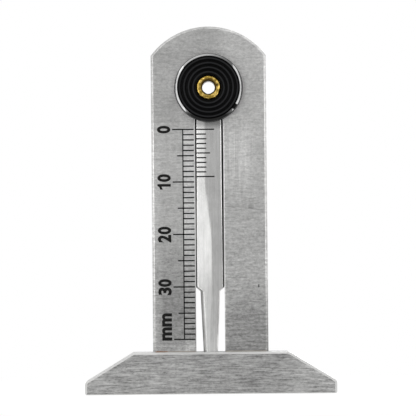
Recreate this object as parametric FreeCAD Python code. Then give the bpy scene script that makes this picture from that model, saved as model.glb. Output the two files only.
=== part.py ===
import FreeCAD, Part
import os

# Tyre tread depth gauge with a vernier slide, in stainless steel.
#
# A flat plate with a domed top carries a millimetre scale and has one long slot. A blade slides in
# the slot. Its upper end carries the vernier and is gripped between a ringed thumb knob and a rear
# disc, which one brass eyelet holds together. Its lower end narrows to a tapered probe. The plate
# widens to a foot at the bottom, where a cheek is brazed on each side of it. The cheeks close the
# slot, so the foot guides the probe. The foot stands on the tread and the probe reaches down into
# the groove. At zero the tip is flush with the foot.
#
# Axes: X to the right as the scale is read, +Z up. The front, with the scale, looks towards -Y.
# The origin is the middle of the foot's flat underside. Sizes are in millimetres.

# Scale plate
plate_height = 70.0
plate_width = 22.0
plate_thickness = 1.5
dome_rise = 5.5
plate_edge_bevel = 0.4
slot_width = 5.5
slot_edge_break = 0.12

# Foot
foot_length = 48.0
foot_top_overhang = 3.8
foot_height = 8.0
foot_end_height = 2.4
foot_upper_corner_radius = 0.9
foot_lower_corner_radius = 0.4
cheek_thickness = 1.5
cheek_edge_bevel = 0.4
cheek_lower_bevel = 0.15
braze_leg = 0.2

# Slide: the blade fills the slot but for a running clearance
eyelet_drop = 11.7
blade_face_clearance = 0.1
blade_side_clearance = 0.05
blade_top_gap = 0.1

# Blade section: from the back the sides stand upright, lean in, and end in a bevel in front
blade_lean = 0.2
blade_lean_height = 0.35
blade_bevel = 0.45
blade_bevel_height = 0.3

# Probe
shoulder_height = 20.3
shoulder_drop = 0.8
probe_root_width = 3.75
probe_tip_width = 2.05
probe_left_flank = 0.75
probe_right_flank = 0.3

# Roof ground on the blade's front: two shallow slopes from a ridge, running out below the vernier
roof_ridge_x = 0.35
roof_left_drop = 0.25
roof_right_drop = 0.08
roof_runout_length = 11.2
roof_vernier_gap = 0.2

# Knob and rear disc
knob_diameter = 13.1
knob_depth = 3.0
knob_side_lean = 0.12
knob_rim_bevel = 0.45
knob_rim_bevel_depth = 0.22
knob_dish = 0.45
ring_pitch = 0.87
ring_depth = 0.22
ring_crest_width = 0.3
ring_inner_land = 0.05
rear_disc_diameter = 12.0
rear_disc_depth = 1.9
rear_disc_edge_bevel = 0.4
disc_clearance = 0.12
boss_side_clearance = 0.55

# Eyelet
eyelet_bore = 2.4
eyelet_wall = 0.3
eyelet_hole_clearance = 0.05
roll_radius = 0.25
clinch_reach = 0.65
flange_well_depth = 0.5
flange_well_clearance = 0.12

# Washers
clinch_washer_diameter = 5.8
clinch_washer_thickness = 0.3
clinch_washer_seat_depth = 0.57
clinch_washer_seat_clearance = 0.15
spring_bore_clearance = 0.3
spring_outer_diameter = 9.0
spring_thickness = 0.25
spring_bow = 0.22
spring_running_gap = 0.05
spring_seat_clearance = 0.25

# Marks
main_pitch = 1.0
zero_mark_gap = 1.35
scale_foot_gap = 2.0
vernier_divisions = 10
mark_width = 0.2
mark_thickness = 0.03
scale_line_offset = 2.25
mark_end_gap = 0.15
five_mark_reach = 1.0
ten_mark_reach = 1.9
vernier_mark_inset = 0.1
vernier_short_mark = 1.85
vernier_five_mark = 2.6
vernier_end_mark = 3.4

# Depths, from the front (least Y) to the back
plate_front = -plate_thickness / 2
plate_back = plate_thickness / 2
blade_front = plate_front + blade_face_clearance
blade_back = plate_back - blade_face_clearance
bevel_foot = blade_front + blade_bevel_height
lean_foot = bevel_foot + blade_lean_height
knob_inner = plate_front - disc_clearance
knob_face = knob_inner - knob_depth
flange_seat = knob_face + knob_dish + ring_depth + flange_well_depth
rear_disc_inner = plate_back + disc_clearance
rear_disc_outer = rear_disc_inner + rear_disc_depth
clinch_seat = rear_disc_outer - clinch_washer_seat_depth
clinch_face = clinch_seat + clinch_washer_thickness
spring_crown = plate_back + spring_running_gap

# Widths and radii
foot_top_length = plate_width + 2 * foot_top_overhang
blade_width = slot_width - 2 * blade_side_clearance
blade_front_width = blade_width - 2 * blade_lean
blade_face_width = blade_front_width - 2 * blade_bevel
boss_diameter = slot_width - 2 * boss_side_clearance
barrel_radius = eyelet_bore / 2 + eyelet_wall
barrel_hole_radius = barrel_radius + eyelet_hole_clearance
flange_radius = barrel_radius + 2 * roll_radius + eyelet_wall
flange_well_radius = flange_radius + flange_well_clearance
clinch_radius = barrel_radius + clinch_reach
spring_inner_diameter = boss_diameter + 2 * spring_bore_clearance
spring_half = spring_outer_diameter / 2
spring_arch = (spring_half**2 + spring_bow**2) / (2 * spring_bow)
spring_back_arch = spring_arch - spring_thickness
spring_axis = spring_crown + spring_arch
spring_seat = spring_axis - (spring_back_arch**2 - spring_half**2) ** 0.5
knob_rim = knob_diameter / 2 - knob_side_lean - knob_rim_bevel
ring_count = int((knob_rim - flange_well_radius - ring_inner_land) / ring_pitch)

# Heights
eyelet_height = plate_height - eyelet_drop
slot_end_height = eyelet_height + blade_width / 2 + blade_top_gap - slot_width / 2
probe_root_height = shoulder_height - shoulder_drop
zero_mark_height = eyelet_height - knob_diameter / 2 - zero_mark_gap
main_range = int((zero_mark_height - foot_height - scale_foot_gap) / main_pitch)
vernier_length = main_pitch * (vernier_divisions - 1)
roof_runout_height = zero_mark_height - vernier_length - roof_vernier_gap
roof_full_height = roof_runout_height - roof_runout_length
scale_line_x = -slot_width / 2 - scale_line_offset

BEYOND = 1.0


def vector(x, y, z):
    return FreeCAD.Vector(x, y, z)


def line(start, end):
    return Part.LineSegment(start, end).toShape()


def arc(start, through, end):
    return Part.Arc(start, through, end).toShape()


def polygon_face(points):
    return Part.Face(Part.makePolygon([*points, points[0]]))


def slab(face, front, back):
    """A face drawn at y = 0, made solid from front to back."""
    return face.translated(vector(0, front, 0)).extrude(vector(0, back - front, 0))


def box(x_low, x_high, y_low, y_high, z_low, z_high):
    corner = vector(x_low, y_low, z_low)
    return Part.makeBox(x_high - x_low, y_high - y_low, z_high - z_low, corner)


def rod(radius, front, back, height=eyelet_height):
    """A cylinder along Y, centred on the slide's eyelet."""
    return Part.makeCylinder(radius, back - front, vector(0, front, height), vector(0, 1, 0))


def turned(edges):
    """A body of revolution about the eyelet's axis, from edges drawn in radius (X) and depth (Y)."""
    centre = vector(0, 0, eyelet_height)
    profile = Part.Face(Part.Wire(edges)).translated(centre)
    return profile.revolve(centre, vector(0, 1, 0), 360)


def turned_polygon(points):
    corners = [vector(radius, depth, 0) for radius, depth in points]
    edges = [line(a, b) for a, b in zip(corners, corners[1:] + corners[:1])]
    return turned(edges)


def edges_of(shape, wanted):
    """The edges whose two ends and middle all pass the test."""
    found = []
    for edge in shape.Edges:
        middle = edge.valueAt((edge.FirstParameter + edge.LastParameter) / 2)
        points = [vertex.Point for vertex in edge.Vertexes] + [middle]
        if all(wanted(point) for point in points):
            found.append(edge)
    return found


def near(value, target):
    return abs(value - target) < 1e-4


# Foot outline, shared by the two cheeks and the plate's own foot between them


def foot_face():
    half = foot_length / 2
    half_top = foot_top_length / 2
    outline = Part.makePolygon(
        [
            vector(-half, 0, 0),
            vector(-half, 0, foot_end_height),
            vector(-half_top, 0, foot_height),
            vector(half_top, 0, foot_height),
            vector(half, 0, foot_end_height),
            vector(half, 0, 0),
            vector(-half, 0, 0),
        ]
    )
    return Part.Face(outline)


def foot_corners(block, height):
    """The edges through the foot's two end corners at a height."""
    return edges_of(block, lambda point: near(abs(point.x), foot_length / 2) and near(point.z, height))


def foot_block(front, back):
    block = slab(foot_face(), front, back)
    block = block.makeFillet(foot_upper_corner_radius, foot_corners(block, foot_end_height))
    return block.makeFillet(foot_lower_corner_radius, foot_corners(block, 0))


def cheek(inner, outer):
    """One side of the foot, bevelled round its outer face, and least at the measuring edge."""
    low, high = min(inner, outer), max(inner, outer)
    block = slab(foot_face(), low, high)
    block = block.makeFillet(foot_upper_corner_radius, foot_corners(block, foot_end_height))

    def is_base(point):
        return near(point.y, outer) and near(point.z, 0)

    base = edges_of(block, is_base)
    around = edges_of(block, lambda point: near(point.y, outer))
    around = [edge for edge in around if not any(edge.isSame(other) for other in base)]
    block = block.makeChamfer(cheek_edge_bevel, around)
    block = block.makeChamfer(cheek_lower_bevel, edges_of(block, is_base))
    return block.common(foot_block(low, high))


def foot_front_cheek():
    return cheek(plate_front, plate_front - cheek_thickness)


def foot_rear_cheek():
    return cheek(plate_back, plate_back + cheek_thickness)


def braze_seam(face, outward):
    """Filler metal in the corner between a plate face and the top of its cheek, each side of the slot."""
    corner = [
        vector(0, face, foot_height),
        vector(0, face + outward * braze_leg, foot_height),
        vector(0, face, foot_height + braze_leg),
    ]
    seam_length = plate_width / 2 - plate_edge_bevel - slot_width / 2 - slot_edge_break
    seams = []
    for start in (-plate_width / 2 + plate_edge_bevel, slot_width / 2 + slot_edge_break):
        seam = polygon_face(corner).extrude(vector(seam_length, 0, 0))
        seams.append(seam.translated(vector(start, 0, 0)))
    return Part.makeCompound(seams)


def braze_seam_front():
    return braze_seam(plate_front, -1)


def braze_seam_rear():
    return braze_seam(plate_back, 1)


# Scale plate


def upright_face():
    half = plate_width / 2
    shoulder = plate_height - dome_rise
    left_foot = vector(-half, 0, foot_height)
    left_shoulder = vector(-half, 0, shoulder)
    right_shoulder = vector(half, 0, shoulder)
    right_foot = vector(half, 0, foot_height)
    outline = Part.Wire(
        [
            line(left_foot, left_shoulder),
            arc(left_shoulder, vector(0, 0, plate_height), right_shoulder),
            line(right_shoulder, right_foot),
            line(right_foot, left_foot),
        ]
    )
    return Part.Face(outline)


def slot_cutter():
    half = slot_width / 2
    straight = box(-half, half, plate_front - BEYOND, plate_back + BEYOND, -BEYOND, slot_end_height)
    return straight.fuse(rod(half, plate_front - BEYOND, plate_back + BEYOND, slot_end_height))


def scale_plate():
    upright = slab(upright_face(), plate_front, plate_back)

    def on_face(point):
        return near(abs(point.y), plate_thickness / 2)

    def on_foot(edge):
        return all(near(vertex.Z, foot_height) for vertex in edge.Vertexes)

    rim = [edge for edge in edges_of(upright, on_face) if not on_foot(edge)]
    upright = upright.makeChamfer(plate_edge_bevel, rim)
    plate = upright.fuse(foot_block(plate_front, plate_back)).removeSplitter()
    plate = plate.cut(slot_cutter())

    def on_slot_lip(point):
        return on_face(point) and abs(point.x) < slot_width / 2 + 1e-4

    return plate.makeChamfer(slot_edge_break, edges_of(plate, on_slot_lip))


# Probe blade


def meeting_point(line_a, line_b):
    """Where two lines of the XZ plane cross; each is a point and a direction."""
    (ax, az), (adx, adz) = line_a
    (bx, bz), (bdx, bdz) = line_b
    turn = adx * bdz - adz * bdx
    along = ((bx - ax) * bdz - (bz - az) * bdx) / turn
    return ax + along * adx, az + along * adz


def inset_outline(points, insets):
    """Moves each side of a clockwise outline inwards by its own inset, and finds the new corners."""
    sides = []
    for i, (x, z) in enumerate(points):
        next_x, next_z = points[(i + 1) % len(points)]
        dx, dz = next_x - x, next_z - z
        length = (dx * dx + dz * dz) ** 0.5
        start = (x + dz / length * insets[i], z - dx / length * insets[i])
        sides.append((start, (dx / length, dz / length)))
    return [meeting_point(sides[i - 1], sides[i]) for i in range(len(sides))]


def layer(outline_back, y_back, outline_front, y_front):
    """A solid with flat sides between two outlines whose sides are parallel, one behind the other."""
    back = [vector(x, y_back, z) for x, z in outline_back]
    front = [vector(x, y_front, z) for x, z in outline_front]
    faces = [polygon_face(back), polygon_face(front)]
    for i in range(len(back)):
        faces.append(polygon_face([back[i - 1], back[i], front[i], front[i - 1]]))
    return Part.makeSolid(Part.makeShell(faces))


def blade_strip():
    """The blade up to the eyelet, with leaning, bevelled sides that turn into the probe's flanks."""
    half_blade = blade_width / 2
    half_root = probe_root_width / 2
    half_tip = probe_tip_width / 2
    left = [
        (-half_tip, 0),
        (-half_root, probe_root_height),
        (-half_blade, shoulder_height),
        (-half_blade, eyelet_height),
    ]
    right = [(-x, z) for x, z in reversed(left)]
    outline = left + right

    # One inset for each side of the outline, clockwise from the left flank; the two ends have none
    lean_share = blade_lean_height / (blade_lean_height + blade_bevel_height)
    at_bevel_foot = [
        probe_left_flank * lean_share,
        probe_left_flank * lean_share,
        blade_lean,
        0,
        blade_lean,
        probe_right_flank * lean_share,
        probe_right_flank * lean_share,
        0,
    ]
    at_front = [
        probe_left_flank,
        probe_left_flank,
        blade_lean + blade_bevel,
        0,
        blade_lean + blade_bevel,
        probe_right_flank,
        probe_right_flank,
        0,
    ]
    bevel_outline = inset_outline(outline, at_bevel_foot)
    front_outline = inset_outline(outline, at_front)
    strip = layer(outline, blade_back, outline, lean_foot)
    strip = strip.fuse(layer(outline, lean_foot, bevel_outline, bevel_foot))
    return strip.fuse(layer(bevel_outline, bevel_foot, front_outline, blade_front))


def blade_round_end():
    """The rounded top of the blade, with the same section as its sides."""
    end = turned_polygon(
        [
            (0, blade_back),
            (blade_width / 2, blade_back),
            (blade_width / 2, lean_foot),
            (blade_front_width / 2, bevel_foot),
            (blade_face_width / 2, blade_front),
            (0, blade_front),
        ]
    )
    top = eyelet_height + blade_width
    return end.common(box(-blade_width, blade_width, plate_front, plate_back, eyelet_height, top))


def roof_cutters(side, drop):
    """What the grinding takes off the blade's front on one side of the ridge: the slope and its run-out."""
    reach = blade_width
    face_reach = blade_face_width / 2 - side * roof_ridge_x
    fall = drop * reach / face_reach
    rise = roof_runout_length * reach / face_reach
    edge_x = roof_ridge_x + side * reach
    ridge = vector(roof_ridge_x, blade_front, roof_full_height)
    edge = vector(edge_x, blade_front + fall, roof_full_height)
    proud = vector(edge_x, blade_front - BEYOND, roof_full_height)
    slope = polygon_face([ridge, edge, proud]).extrude(vector(0, 0, -roof_full_height - BEYOND))

    # The run-out is flat: it starts along the slope's upper edge and comes out at the blade's side
    top = vector(edge_x, blade_front, roof_full_height + rise)
    sides = [(ridge, edge, proud), (ridge, edge, top), (ridge, proud, top), (edge, proud, top)]
    runout = Part.makeSolid(Part.makeShell([polygon_face(corners) for corners in sides]))
    return slope, runout


def probe_blade():
    blade = blade_strip().fuse(blade_round_end())
    for side, drop in ((-1, roof_left_drop), (1, roof_right_drop)):
        for cutter in roof_cutters(side, drop):
            blade = blade.cut(cutter)
    hole = rod(barrel_hole_radius, blade_front - BEYOND, blade_back + BEYOND)
    return blade.cut(hole).removeSplitter()


# Knob, rear disc and what holds them


def thumb_knob():
    """A ringed and dished disc, with a well for the eyelet's flange and a boss that reaches the blade."""
    dish_slope = knob_dish / (knob_rim - flange_well_radius)

    def crest(at_radius):
        return at_radius, knob_face + (knob_rim - at_radius) * dish_slope

    def valley(at_radius):
        radius, depth = crest(at_radius)
        return radius, depth + ring_depth

    corners = [crest(knob_rim), valley(knob_rim)]
    for ring in range(ring_count):
        outer = knob_rim - ring * ring_pitch
        inner = outer - ring_pitch
        middle = (outer + inner) / 2
        corners += [crest(middle + ring_crest_width / 2), crest(middle - ring_crest_width / 2), valley(inner)]
    corners += [
        valley(flange_well_radius),
        (flange_well_radius, flange_seat),
        (barrel_hole_radius, flange_seat),
        (barrel_hole_radius, blade_front),
        (boss_diameter / 2, blade_front),
        (boss_diameter / 2, knob_inner),
        (knob_diameter / 2, knob_inner),
        (knob_rim + knob_rim_bevel, knob_face + knob_rim_bevel_depth),
    ]
    return turned_polygon(corners)


def rear_disc():
    """A plain disc with a boss to the blade, a pocket for the spring and a seat for the clinch washer."""
    radius = rear_disc_diameter / 2
    bevel = rear_disc_edge_bevel
    boss = boss_diameter / 2
    pocket = spring_half + spring_seat_clearance
    washer_seat = clinch_washer_diameter / 2 + clinch_washer_seat_clearance
    return turned_polygon(
        [
            (barrel_hole_radius, blade_back),
            (boss, blade_back),
            (boss, spring_seat),
            (pocket, spring_seat),
            (pocket, rear_disc_inner),
            (radius, rear_disc_inner),
            (radius, rear_disc_outer - bevel),
            (radius - bevel, rear_disc_outer),
            (washer_seat, rear_disc_outer),
            (washer_seat, clinch_seat),
            (barrel_hole_radius, clinch_seat),
        ]
    )


def friction_spring():
    """A curved spring washer: a ring cut from a thin arched sheet. Its crown rubs on the plate."""
    start = vector(-spring_half, spring_axis, eyelet_height)
    along = vector(1, 0, 0)
    arch = Part.makeCylinder(spring_arch, spring_outer_diameter, start, along)
    arch = arch.cut(Part.makeCylinder(spring_back_arch, spring_outer_diameter, start, along))
    ring = rod(spring_half, spring_crown - BEYOND, spring_seat + BEYOND)
    ring = ring.cut(rod(spring_inner_diameter / 2, spring_crown - BEYOND, spring_seat + BEYOND))
    return arch.common(ring)


def clinch_washer():
    washer = rod(clinch_washer_diameter / 2, clinch_seat, clinch_face)
    return washer.cut(rod(barrel_hole_radius, clinch_seat - BEYOND, clinch_face + BEYOND))


def brass_eyelet():
    """A brass tube: its front end is rolled outwards on to the knob, its rear end is pressed flat."""
    bore = eyelet_bore / 2
    roll_centre = barrel_radius + roll_radius
    roll_outer = roll_radius + eyelet_wall
    corners = [
        vector(roll_centre + roll_outer, flange_seat, 0),
        vector(roll_centre + roll_radius, flange_seat, 0),
        vector(roll_centre, flange_seat - roll_radius, 0),
        vector(barrel_radius, flange_seat, 0),
        vector(barrel_radius, clinch_face, 0),
        vector(clinch_radius, clinch_face, 0),
        vector(clinch_radius, clinch_face + eyelet_wall, 0),
        vector(barrel_radius, clinch_face + eyelet_wall, 0),
        vector(bore, clinch_face, 0),
        vector(bore, flange_seat, 0),
    ]
    edges = [line(a, b) for a, b in zip(corners, corners[1:])]
    edges.append(arc(corners[-1], vector(roll_centre, flange_seat - roll_outer, 0), corners[0]))
    return turned(edges)


# Painted marks


def main_mark_reach(number):
    """How far a mark runs out past the scale line, to the side of the figures."""
    if number % 10 == 0:
        return ten_mark_reach
    return five_mark_reach if number % 5 == 0 else 0.0


def main_scale_marks():
    """The main scale: a line down the plate with a mark for each millimetre, as far as the slot."""
    half = mark_width / 2
    front = plate_front - mark_thickness
    last_height = zero_mark_height - main_range * main_pitch
    inner_end = -slot_width / 2 - mark_end_gap
    line_low, line_high = last_height - half, zero_mark_height + half
    scale_line = box(scale_line_x - half, scale_line_x + half, front, plate_front, line_low, line_high)
    marks = []
    for number in range(main_range + 1):
        height = zero_mark_height - number * main_pitch
        outer_end = scale_line_x - half - main_mark_reach(number)
        marks.append(box(outer_end, inner_end, front, plate_front, height - half, height + half))
    return scale_line.multiFuse(marks).removeSplitter()


def vernier_marks():
    """The vernier: its divisions share one main division less than their own number."""
    half = mark_width / 2
    pitch = vernier_length / vernier_divisions
    start = -blade_front_width / 2 + vernier_mark_inset
    areas = []
    for number in range(vernier_divisions + 1):
        length = vernier_short_mark
        if number == vernier_divisions // 2:
            length = vernier_five_mark
        if number in (0, vernier_divisions):
            length = vernier_end_mark
        height = zero_mark_height - number * pitch
        areas.append(box(start, start + length, plate_front, plate_back, height - half, height + half))

    # The paint follows the blade's front over the crease of its bevel
    strip = blade_strip()
    skin = strip.translated(vector(0, -mark_thickness, 0)).cut(strip)
    return Part.makeCompound([skin.common(area) for area in areas])


PIECES = {
    "scale_plate": scale_plate,
    "foot_front_cheek": foot_front_cheek,
    "foot_rear_cheek": foot_rear_cheek,
    "braze_seam_front": braze_seam_front,
    "braze_seam_rear": braze_seam_rear,
    "main_scale_marks": main_scale_marks,
    "probe_blade": probe_blade,
    "vernier_marks": vernier_marks,
    "thumb_knob": thumb_knob,
    "brass_eyelet": brass_eyelet,
    "rear_disc": rear_disc,
    "friction_spring": friction_spring,
    "clinch_washer": clinch_washer,
}

os.makedirs("parts", exist_ok=True)
for name, make in PIECES.items():
    shape = make()
    shape.exportStep(f"parts/{name}.step")
    bounds = shape.BoundBox
    print(
        f"{name}: {len(shape.Solids)} solid(s), valid {shape.isValid()}, volume {shape.Volume:.3f} mm3,",
        f"X {bounds.XMin:.2f}..{bounds.XMax:.2f}, Y {bounds.YMin:.2f}..{bounds.YMax:.2f},",
        f"Z {bounds.ZMin:.2f}..{bounds.ZMax:.2f}",
    )
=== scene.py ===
# %% [markdown]
# # Dressing a tread depth gauge
# This lesson takes the finished construction of a small steel measuring tool and gives it its looks.
# The construction comes in as a fixed frame: each piece has its real size and place already, so
# everything here is modelled and painted where the frame says, in metres, with Z upwards and the
# scale facing -Y. Nothing of the frame is moved. A piece is either given a material, or replaced by
# a finer mesh that fills the same place.

# %% Load the frame
import math

import bmesh
import bpy
from mathutils import Matrix, Vector


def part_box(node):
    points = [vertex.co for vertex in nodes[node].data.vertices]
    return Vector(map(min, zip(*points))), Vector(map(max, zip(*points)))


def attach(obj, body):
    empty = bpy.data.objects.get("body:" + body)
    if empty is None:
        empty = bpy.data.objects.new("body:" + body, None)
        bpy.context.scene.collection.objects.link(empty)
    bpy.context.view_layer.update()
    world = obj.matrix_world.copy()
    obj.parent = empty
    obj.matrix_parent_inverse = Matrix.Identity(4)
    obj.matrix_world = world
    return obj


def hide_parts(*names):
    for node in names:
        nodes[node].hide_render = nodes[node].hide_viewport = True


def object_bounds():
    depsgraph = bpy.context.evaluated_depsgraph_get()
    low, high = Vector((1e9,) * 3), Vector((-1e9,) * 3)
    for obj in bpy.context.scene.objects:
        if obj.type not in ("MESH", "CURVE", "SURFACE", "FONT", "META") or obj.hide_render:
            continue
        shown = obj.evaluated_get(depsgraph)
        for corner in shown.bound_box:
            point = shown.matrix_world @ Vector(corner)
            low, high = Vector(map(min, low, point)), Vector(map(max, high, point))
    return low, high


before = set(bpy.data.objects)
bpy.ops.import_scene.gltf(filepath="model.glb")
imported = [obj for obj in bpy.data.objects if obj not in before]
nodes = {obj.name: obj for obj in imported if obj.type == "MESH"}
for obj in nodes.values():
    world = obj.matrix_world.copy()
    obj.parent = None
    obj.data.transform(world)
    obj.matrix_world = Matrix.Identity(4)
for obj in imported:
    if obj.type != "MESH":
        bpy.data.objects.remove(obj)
MM = 0.001
cad_low, cad_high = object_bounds()
print("frame:", len(nodes), "nodes,", [round(side / MM, 1) for side in cad_high - cad_low], "mm")

# %% [markdown]
# ## Sizes that everything else hangs on
# The places are read from the frame's boxes rather than typed in, so a longer plate or a bigger knob
# brings its finish along. Only what the boxes can't tell is written here, as a real size.

# %% Read the places
plate_low, plate_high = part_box("scale_plate")
foot_low, foot_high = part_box("foot_front_cheek")
blade_low, blade_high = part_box("probe_blade")
knob_low, knob_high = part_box("thumb_knob")
disc_low, disc_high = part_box("rear_disc")
washer_low, washer_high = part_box("clinch_washer")
marks_low, marks_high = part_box("main_scale_marks")

plate_front = plate_low.y
plate_back = plate_high.y
foot_top = foot_high.z
spring_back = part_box("friction_spring")[1].y
vernier_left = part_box("vernier_marks")[0].x
slide_axis = (knob_low + knob_high) / 2
print("plate front at y", round(plate_front / MM, 2), "and knob axis at z", round(slide_axis.z / MM, 2))

# %% [markdown]
# ## The camera
# The portrait is taken square on, with a long lens from about 0.6 m, so the tool shows almost no
# perspective. Two corners of the foot, read off the picture, give both the scale and the slight
# lean of the picture: their distance in pixels against the foot's real length. The camera could be
# placed by eye, but two measured points are quicker and can be checked.

# %% Place the camera
PICTURE_SIDE = 416
SENSOR_SIDE = 36.0
CAMERA_DISTANCE = 620 * MM
FOOT_LEFT_CORNER = Vector((86.1, 394.5))
FOOT_RIGHT_CORNER = Vector((338.0, 391.5))
PLATE_LEAN = math.radians(0.34)
PICTURE_CENTRE_X = -0.3 * MM
PICTURE_CENTRE_Z = 35.4 * MM

foot_line = FOOT_RIGHT_CORNER - FOOT_LEFT_CORNER
foot_lean = math.atan2(-foot_line.y, foot_line.x)
pixels_per_metre = foot_line.length / (foot_high.x - foot_low.x)
view_side = PICTURE_SIDE / pixels_per_metre

camera = bpy.data.objects.new("camera", bpy.data.cameras.new("camera"))
bpy.context.scene.collection.objects.link(camera)
camera.data.sensor_width = SENSOR_SIDE
camera.data.lens = SENSOR_SIDE * CAMERA_DISTANCE / view_side
lean = (foot_lean + PLATE_LEAN) / 2
turn = Matrix.Rotation(math.radians(90), 4, "X") @ Matrix.Rotation(-lean, 4, "Z")
place = Vector((PICTURE_CENTRE_X, plate_front - CAMERA_DISTANCE, PICTURE_CENTRE_Z))
camera.matrix_world = Matrix.Translation(place) @ turn
bpy.context.scene.camera = camera
bpy.context.scene.view_settings.view_transform = "Standard"
print("lens", round(camera.data.lens), "mm, lean", round(math.degrees(lean), 2), "degrees")

# %% [markdown]
# ## Sockets that can be added up
# A material is a small sum: grain plus patches, times a colour. Drawing that as nodes by hand is
# slow to read, so one small class wraps a socket and lets Python's own operators add the Math nodes.
# Any other node comes from one method, which sets the node's choices before it fills its sockets; a
# list of links fills a socket that takes several. The same class serves materials and geometry trees.

# %% Wrap a socket


class Socket:
    """An output of a node tree. Sums on it add Math nodes; make adds any other node."""

    def __init__(self, tree, out=None):
        self.tree = tree
        self.out = out

    def make(self, kind, settings=None, inputs=None, output=0):
        """Adds a node, sets its choices, fills its inputs by index or name, and returns one output."""
        node = self.tree.nodes.new(kind)
        for name, value in (settings or {}).items():
            setattr(node, name, value)
        for key, value in (inputs or {}).items():
            if isinstance(value, (Socket, list)):
                for source in value if isinstance(value, list) else [value]:
                    self.tree.links.new(source.out, node.inputs[key])
            elif value is not None:
                node.inputs[key].default_value = value
        return Socket(self.tree, node.outputs[output]) if len(node.outputs) else node

    def maths(self, operation, first, second=None):
        return self.make("ShaderNodeMath", {"operation": operation}, {0: first, 1: second})

    def __add__(self, other):
        return self.maths("ADD", self, other)

    __radd__ = __add__

    def __mul__(self, other):
        return self.maths("MULTIPLY", self, other)

    __rmul__ = __mul__

    def __sub__(self, other):
        return self.maths("SUBTRACT", self, other)

    def __rsub__(self, other):
        return self.maths("SUBTRACT", other, self)

    def __truediv__(self, other):
        return self.maths("DIVIDE", self, other)

    def __rtruediv__(self, other):
        return self.maths("DIVIDE", other, self)

    def __abs__(self):
        return self.maths("ABSOLUTE", self)

    def root(self):
        return self.maths("SQRT", self)

    def at_least(self, other):
        return self.maths("MAXIMUM", self, other)

    def rises(self, low, high):
        """0 below low, 1 above high, and smooth between; a low above the high turns it round."""
        settings = {"interpolation_type": "SMOOTHSTEP", "clamp": True}
        return self.make("ShaderNodeMapRange", settings, {0: self, 1: low, 2: high, 3: 0.0, 4: 1.0})

    def inside(self, low, high, soft):
        """1 between low and high, fading to 0 over a soft edge."""
        return self.rises(low - soft, low + soft) * self.rises(high + soft, high - soft)

    def parts(self, axes="XYZ"):
        """The parts of a vector along some axes, as numbers."""
        return [self.make("ShaderNodeSeparateXYZ", inputs={0: self}, output=axis) for axis in axes]

    def joined(self, x=None, y=None, z=None):
        """A vector from its parts; a part that is left out is 0."""
        return self.make("ShaderNodeCombineXYZ", inputs={"X": x, "Y": y, "Z": z})


print("sockets can be added, multiplied, subtracted and divided")

# %% [markdown]
# ## Soft studio light
# Small shiny things are photographed in a white tent: lamps shine through its walls, and the only
# dark thing to be seen from inside is the camera. Two tall strips stand half-way to the sides. They
# draw the bright crescents on the bevel of the knob's rim, and their place follows from it: a bevel
# that leans by an angle shows what stands at twice that angle from the lens. A card close to the
# left of the lens is what the left half of the blade mirrors, and a box at the back lights the rear.
# A level stands for how bright a lamp looks, 1 being about as bright as white paper, and the power
# follows from the level and the area, which is easier to judge than watts.

# %% Set the soft boxes
LAMP_DISTANCE = 0.60


def soft_box(name, shape, side_angle, rise, width, height, level):
    """A lamp that faces the tool, at an angle to the lens, and looks about as bright as its level."""
    lamp = bpy.data.lights.new(name, "AREA")
    lamp.shape = shape
    lamp.size = width
    lamp.size_y = height
    lamp.energy = level * math.pi * width * height
    holder = bpy.data.objects.new(name, lamp)
    bpy.context.scene.collection.objects.link(holder)
    angle = math.radians(side_angle)
    centre = Vector((0, 0, (cad_low.z + cad_high.z) / 2))
    reach = Vector((math.sin(angle), -math.cos(angle), 0)) * LAMP_DISTANCE
    holder.location = centre + reach + Vector((0, 0, rise))
    holder.rotation_euler = (centre - holder.location).to_track_quat("-Z", "Y").to_euler()
    print(name, "stands at", side_angle, "degrees with", round(lamp.energy, 2), "W")


soft_box("left_strip", "ELLIPSE", side_angle=-50, rise=-0.03, width=0.13, height=1.00, level=3.5)
soft_box("right_strip", "ELLIPSE", side_angle=50, rise=0.00, width=0.12, height=0.95, level=3.2)
soft_box("lens_card", "RECTANGLE", side_angle=-15, rise=0.02, width=0.11, height=0.40, level=1.0)
soft_box("rear_box", "RECTANGLE", side_angle=155, rise=0.20, width=0.50, height=0.40, level=2.0)

# %% [markdown]
# ## The room
# The background is white because the world itself is white to the camera, and to anything seen
# through an opening. Metal sees the same white all round, and a darker patch where the camera and
# its stand would be: without something dark to mirror, steel looks like paper. A thin bright arch
# over the lens, and a fainter one below it, stand for gaps in the tent. They close the crescents at
# the top and the bottom of the knob's rim, and could be lamps, but a band of the world can be given
# just the height that the bevel mirrors. Everything dull gets an even, weaker fill. A direction is
# split into its parts, and a pair of them says where a band begins and ends.

# %% Build the room
FILL_LEVEL = 0.74
TENT_LEVEL = 1.0
CAMERA_SIDE_LEVEL = 0.58
CAMERA_SIDE = (0.50, 0.85)
ARCH_BAND = (0.44, 0.57)
ARCH_RISE = (0.38, 0.46)
ARCH_LEFT = (-0.60, 0.25)
LOW_ARCH_BAND = (0.55, 0.68)
LOW_ARCH_RISE = (-0.58, -0.47)
LOW_ARCH_LEFT = (-0.60, 0.60)
LOW_ARCH_SHARE = 0.6
BAND_SOFTNESS = 0.008
RISE_SOFTNESS = 0.04
ARCH_LEVEL = 2.9


def any_ray(start, names):
    """1 for each kind of ray that is named."""
    path = [start.make("ShaderNodeLightPath", output=name) for name in names]
    total = path[0]
    for ray in path[1:]:
        total = total + ray
    return total


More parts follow.
